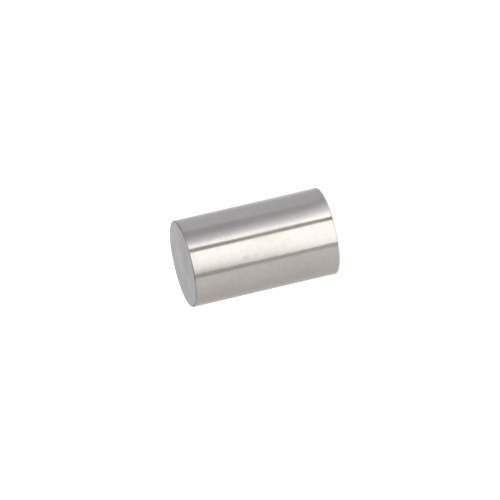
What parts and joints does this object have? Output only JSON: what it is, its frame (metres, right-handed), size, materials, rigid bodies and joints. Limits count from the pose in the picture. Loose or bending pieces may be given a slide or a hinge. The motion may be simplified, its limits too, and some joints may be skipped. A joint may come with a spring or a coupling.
{
  "type": "cylindrical roller",
  "caption": "Solid cylindrical steel roller with flat end faces and finely rounded rims, to roll between two raceways or to act as a plain pin.",
  "frame": {"origin": "centre of the lower end face", "axes": "+Z along the roller's axis, from the lower end face to the upper one; X and Y are alike, because the roller is round"},
  "size_m": [0.01, 0.01, 0.017],
  "materials": {
    "roller_steel": "hardened steel, rolling surface ground and honed to a soft mirror with fine marks round it, end faces ground satin, rims tumbled dull"
  },
  "bodies": {
    "root": {"roller": "roller_steel"}
  },
  "joints": []
}
